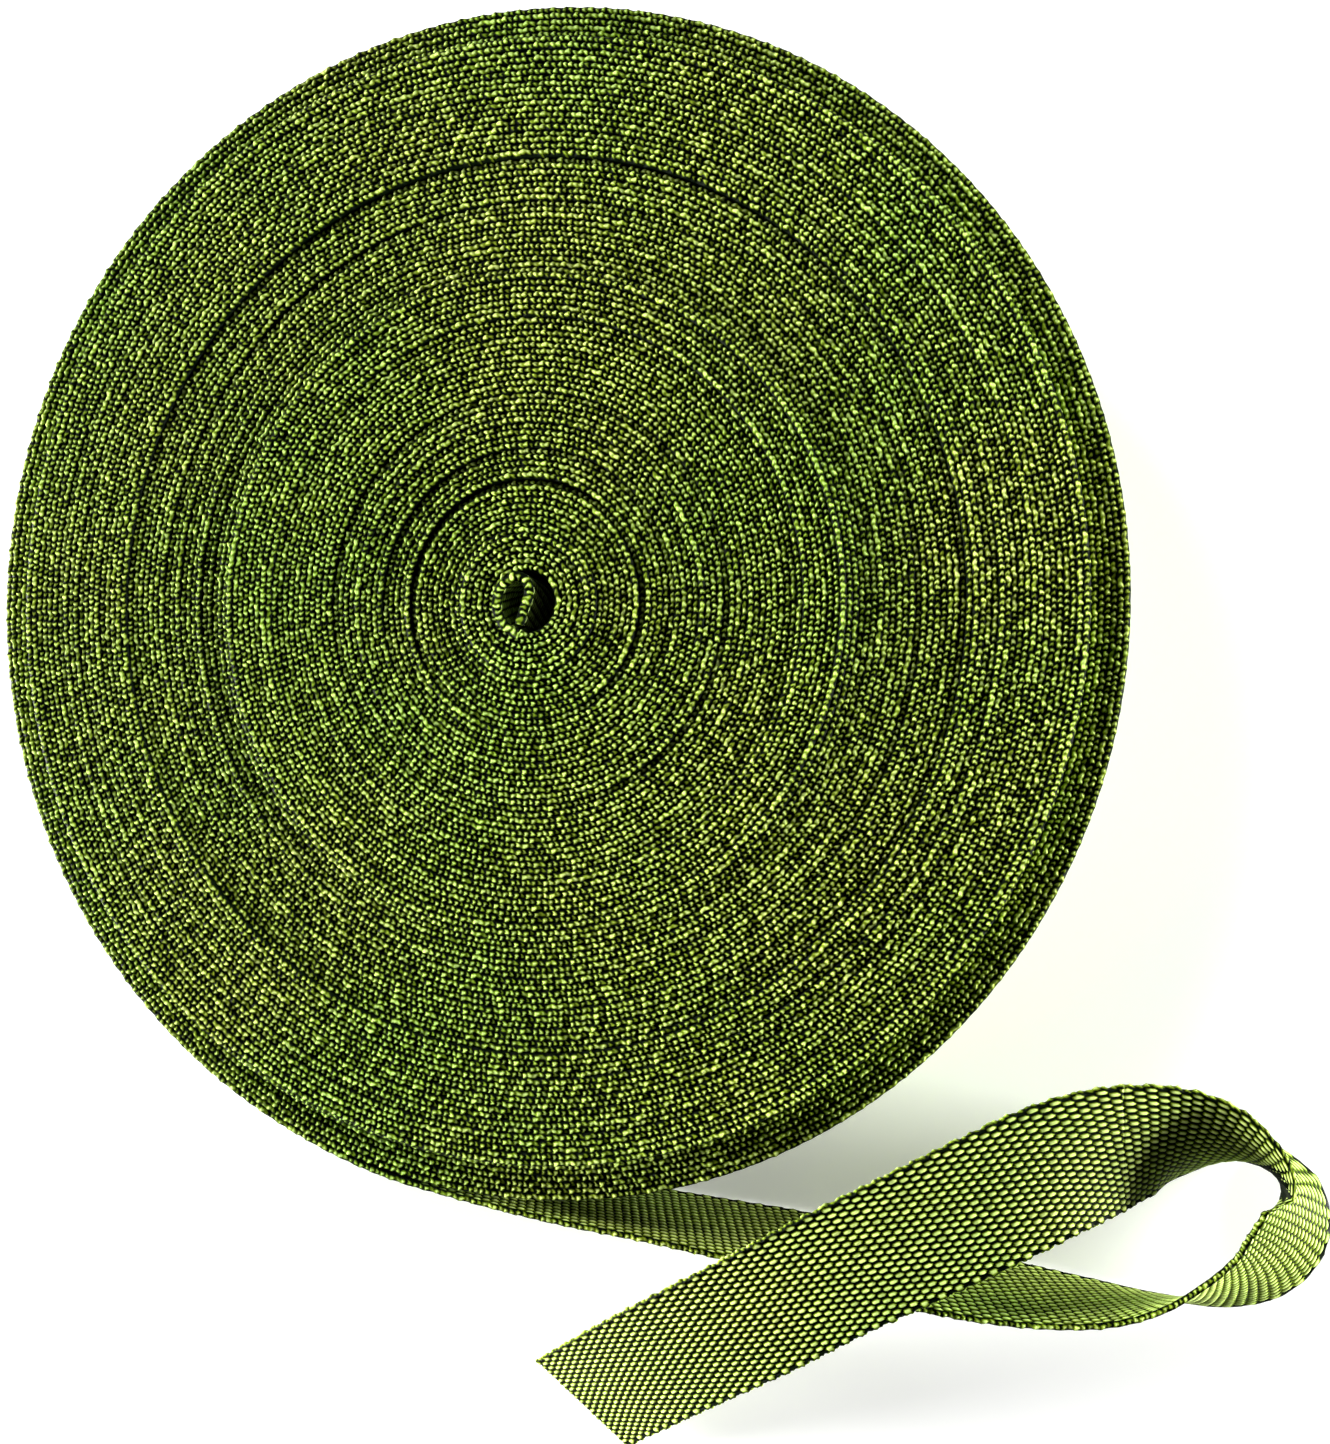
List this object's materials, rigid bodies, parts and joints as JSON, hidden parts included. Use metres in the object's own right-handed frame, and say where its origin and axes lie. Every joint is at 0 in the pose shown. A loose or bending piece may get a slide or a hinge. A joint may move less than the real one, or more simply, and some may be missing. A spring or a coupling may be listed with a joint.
{
  "type": "roll of flat woven strap",
  "caption": "Flat woven strap wound on itself into a flat spiral roll with no core; its free end stands on edge, turns back in a loop over itself and ends in an oblique cut.",
  "frame": {"origin": "on the axis of the roll, on the surface that the roll lies on", "axes": "+Z along the axis of the roll, away from the surface; the free end leaves the roll at its -Y side and runs towards +X"},
  "size_m": [0.2535, 0.2794, 0.0302],
  "materials": {
    "webbing": "woven polypropylene, satin"
  },
  "bodies": {
    "roll": {"eye_fold": "webbing", "core_turns": "webbing", "inner_turns": "webbing", "middle_turns": "webbing", "proud_turns": "webbing", "face_turns": "webbing", "rim_turns": "webbing", "set_back_turns": "webbing"},
    "tail": {"tail_lead_out": "webbing", "tail_loop": "webbing", "free_end": "webbing"}
  },
  "joints": [
    {"name": "tail_swing", "type": "hinge", "parent": "roll", "child": "tail", "pos_m": [-0.0219, -0.1093, 0.0125], "axis": [0, 0, 1], "range_deg": [-60, 0]}
  ]
}
